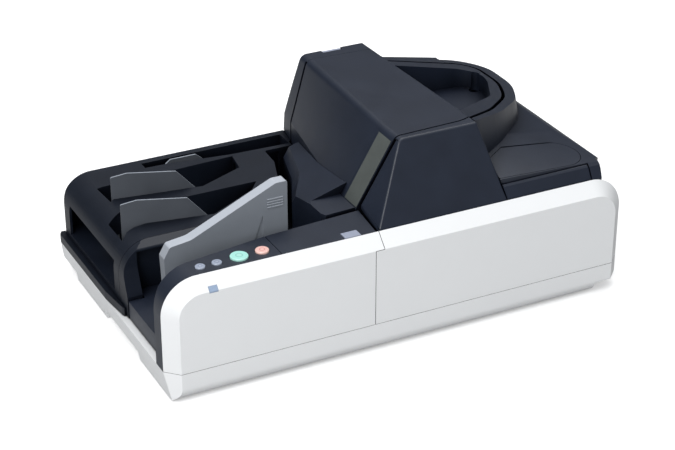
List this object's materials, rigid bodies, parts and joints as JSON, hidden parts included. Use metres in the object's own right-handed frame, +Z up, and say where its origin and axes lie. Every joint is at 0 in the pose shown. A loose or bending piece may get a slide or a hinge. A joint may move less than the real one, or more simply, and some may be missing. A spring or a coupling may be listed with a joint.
{
  "type": "cheque scanner",
  "caption": "Desktop cheque scanner: open hopper with sliding guide, upright U-shaped paper track under hinged covers, and sorting pockets behind.",
  "frame": {"origin": "middle of the footprint, on the desk under the rubber feet", "axes": "+X to the right seen from the operator's side, +Y from the front to the back, +Z up"},
  "size_m": [0.54, 0.3264, 0.21],
  "materials": {
    "dark_plastic": "fine moulded texture",
    "white_plastic": "fine moulded texture",
    "plate_grey": "satin",
    "guide_grey": "satin metallic paint",
    "tab_grey": "satin",
    "lens_clear": "polished",
    "start_green": "satin",
    "stop_pink": "satin",
    "key_grey": "satin",
    "steel": "brushed",
    "zinc": "zinc plated",
    "rubber": "matte",
    "board": "solder mask",
    "motor_black": "satin"
  },
  "bodies": {
    "root": {"base_casing": "white_plastic", "rubber_feet": "rubber", "chassis_plate": "zinc", "chassis_screws": "zinc", "hinge_pins": "steel", "guide_rails": "steel", "front_panel": "white_plastic", "indicator_lens": "lens_clear", "control_frame": "dark_plastic", "key_board": "board", "inlet_cover": "dark_plastic", "hopper_floor": "dark_plastic", "wear_strip": "steel", "hopper_wall": "dark_plastic", "pocket_block": "dark_plastic", "feed_unit_cover": "dark_plastic", "centre_tower": "dark_plastic", "turn_island": "dark_plastic", "right_deck": "dark_plastic", "imprint_cartridge": "motor_black", "track_floor": "dark_plastic", "bushes": "tab_grey", "inner_image_sensor": "motor_black", "magnetic_head": "steel", "transport_belt": "rubber", "feed_belt": "rubber", "transport_motor": "motor_black", "feed_motor": "motor_black", "main_board": "board", "power_supply": "zinc", "power_inlet": "motor_black"},
    "front_cover": {"front_cover_panel": "white_plastic", "front_cover_hood": "dark_plastic", "front_cover_frame": "motor_black", "outer_image_sensor": "motor_black"},
    "rear_cover": {"rear_cover": "dark_plastic"},
    "front_latch": {"front_latch": "tab_grey"},
    "rear_latch": {"rear_latch": "tab_grey"},
    "cartridge_lid": {"cartridge_lid": "dark_plastic"},
    "feed_guide": {"feed_guide": "guide_grey"},
    "pocket_plate_front": {"pocket_plate_front": "plate_grey"},
    "pocket_plate_middle": {"pocket_plate_middle": "plate_grey"},
    "pocket_plate_rear": {"pocket_plate_rear": "plate_grey"},
    "power_switch": {"power_switch": "motor_black"},
    "transport_spindle": {"transport_spindle": "steel"},
    "feed_spindle": {"feed_spindle": "steel"},
    "pick_roller": {"pick_roller": "rubber"},
    "feed_roller": {"feed_roller": "rubber"},
    "retard_roller": {"retard_roller": "rubber"},
    "front_drive_roller": {"front_drive_roller": "rubber"},
    "turn_drive_roller": {"turn_drive_roller": "rubber"},
    "back_drive_roller": {"back_drive_roller": "rubber"},
    "front_pinch_roller": {"front_pinch_roller": "tab_grey"},
    "turn_pinch_roller": {"turn_pinch_roller": "tab_grey"},
    "back_pinch_roller": {"back_pinch_roller": "tab_grey"},
    "eject_button": {"eject_button": "key_grey"},
    "reset_button": {"reset_button": "key_grey"},
    "start_button": {"start_button": "start_green"},
    "stop_button": {"stop_button": "stop_pink"}
  },
  "joints": [
    {"name": "front_cover_hinge", "type": "hinge", "parent": "root", "child": "front_cover", "pos_m": [0.26, -0.145, 0.08], "axis": [0, 0, 1], "range_deg": [0, 75]},
    {"name": "rear_cover_hinge", "type": "hinge", "parent": "root", "child": "rear_cover", "pos_m": [0.212, 0.156, 0.08], "axis": [0, 0, -1], "range_deg": [0, 75]},
    {"name": "front_latch_press", "type": "slide", "parent": "root", "child": "front_latch", "axis": [0, 0, -1], "range_m": [0, 0.0015], "stiffness_N_per_m": 300},
    {"name": "rear_latch_press", "type": "slide", "parent": "rear_cover", "child": "rear_latch", "axis": [0, 0, -1], "range_m": [0, 0.0015], "stiffness_N_per_m": 300},
    {"name": "cartridge_lid_hinge", "type": "hinge", "parent": "root", "child": "cartridge_lid", "pos_m": [0.169, -0.0859, 0.16033], "axis": [-0.9928, 0, 0.1202], "range_deg": [0, 45]},
    {"name": "feed_guide_slide", "type": "slide", "parent": "root", "child": "feed_guide", "axis": [0, 1, 0], "range_m": [0, 0.05]},
    {"name": "pocket_plate_front_hinge", "type": "hinge", "parent": "root", "child": "pocket_plate_front", "pos_m": [-0.1519, 0.009, 0.08], "axis": [0, 0, -1], "range_deg": [0, 12]},
    {"name": "pocket_plate_middle_hinge", "type": "hinge", "parent": "root", "child": "pocket_plate_middle", "pos_m": [-0.1375, 0.0755, 0.08], "axis": [0, 0, -1], "range_deg": [0, 12]},
    {"name": "pocket_plate_rear_hinge", "type": "hinge", "parent": "root", "child": "pocket_plate_rear", "pos_m": [-0.098, 0.1468, 0.08], "axis": [0, 0, -1], "range_deg": [0, 5]},
    {"name": "power_switch_rock", "type": "hinge", "parent": "root", "child": "power_switch", "pos_m": [-0.23, 0.159, 0.018], "axis": [1, 0, 0], "range_deg": [-7, 7], "stiffness_Nm_per_rad": 0.05},
    {"name": "transport_spin", "type": "hinge", "parent": "root", "child": "transport_spindle", "pos_m": [0.026, 0.022, 0.08], "axis": [0, 0, 1], "continuous": true},
    {"name": "feed_spin", "type": "hinge", "parent": "root", "child": "feed_spindle", "pos_m": [-0.034, -0.002, 0.08], "axis": [0, 0, 1], "continuous": true},
    {"name": "front_drive_spin", "type": "hinge", "parent": "root", "child": "front_drive_roller", "pos_m": [0.0445, -0.0829, 0.08], "axis": [0, 0, 1], "continuous": true},
    {"name": "turn_drive_spin", "type": "hinge", "parent": "root", "child": "turn_drive_roller", "pos_m": [0.17224, -0.0246, 0.08], "axis": [0, 0, 1], "continuous": true},
    {"name": "back_drive_spin", "type": "hinge", "parent": "root", "child": "back_drive_roller", "pos_m": [0.05945, 0.11612, 0.08], "axis": [0, 0, 1], "continuous": true},
    {"name": "front_pinch_spin", "type": "hinge", "parent": "front_cover", "child": "front_pinch_roller", "pos_m": [0.04534, -0.10318, 0.08], "axis": [0, 0, 1], "continuous": true},
    {"name": "turn_pinch_spin", "type": "hinge", "parent": "root", "child": "turn_pinch_roller", "pos_m": [0.18689, -0.03865, 0.08], "axis": [0, 0, 1], "continuous": true},
    {"name": "back_pinch_spin", "type": "hinge", "parent": "rear_cover", "child": "back_pinch_roller", "pos_m": [0.06039, 0.13639, 0.08], "axis": [0, 0, 1], "continuous": true},
    {"name": "feed_roller_spin", "type": "hinge", "parent": "root", "child": "feed_roller", "pos_m": [-0.0475, -0.11106, 0.08], "axis": [0, 0, 1], "continuous": true},
    {"name": "pick_roller_spin", "type": "hinge", "parent": "root", "child": "pick_roller", "pos_m": [-0.112, -0.1176, 0.08], "axis": [0, 0, 1], "continuous": true},
    {"name": "retard_roller_spin", "type": "hinge", "parent": "root", "child": "retard_roller", "pos_m": [-0.04843, -0.08878, 0.08], "axis": [0, 0, 1], "continuous": true},
    {"name": "eject_button_press", "type": "slide", "parent": "root", "child": "eject_button", "axis": [0, 0, -1], "range_m": [0, 0.0012], "stiffness_N_per_m": 300},
    {"name": "reset_button_press", "type": "slide", "parent": "root", "child": "reset_button", "axis": [0, 0, -1], "range_m": [0, 0.0012], "stiffness_N_per_m": 300},
    {"name": "start_button_press", "type": "slide", "parent": "root", "child": "start_button", "axis": [0, 0, -1], "range_m": [0, 0.0012], "stiffness_N_per_m": 300},
    {"name": "stop_button_press", "type": "slide", "parent": "root", "child": "stop_button", "axis": [0, 0, -1], "range_m": [0, 0.0012], "stiffness_N_per_m": 300}
  ],
  "couplings": [
    {"joint": "front_drive_spin", "follows": "transport_spin", "ratio": 1},
    {"joint": "turn_drive_spin", "follows": "transport_spin", "ratio": 1},
    {"joint": "back_drive_spin", "follows": "transport_spin", "ratio": 1},
    {"joint": "front_pinch_spin", "follows": "transport_spin", "ratio": -1.5},
    {"joint": "turn_pinch_spin", "follows": "transport_spin", "ratio": -1.5},
    {"joint": "back_pinch_spin", "follows": "transport_spin", "ratio": -1.5},
    {"joint": "feed_roller_spin", "follows": "feed_spin", "ratio": 1},
    {"joint": "pick_roller_spin", "follows": "feed_spin", "ratio": 1}
  ]
}
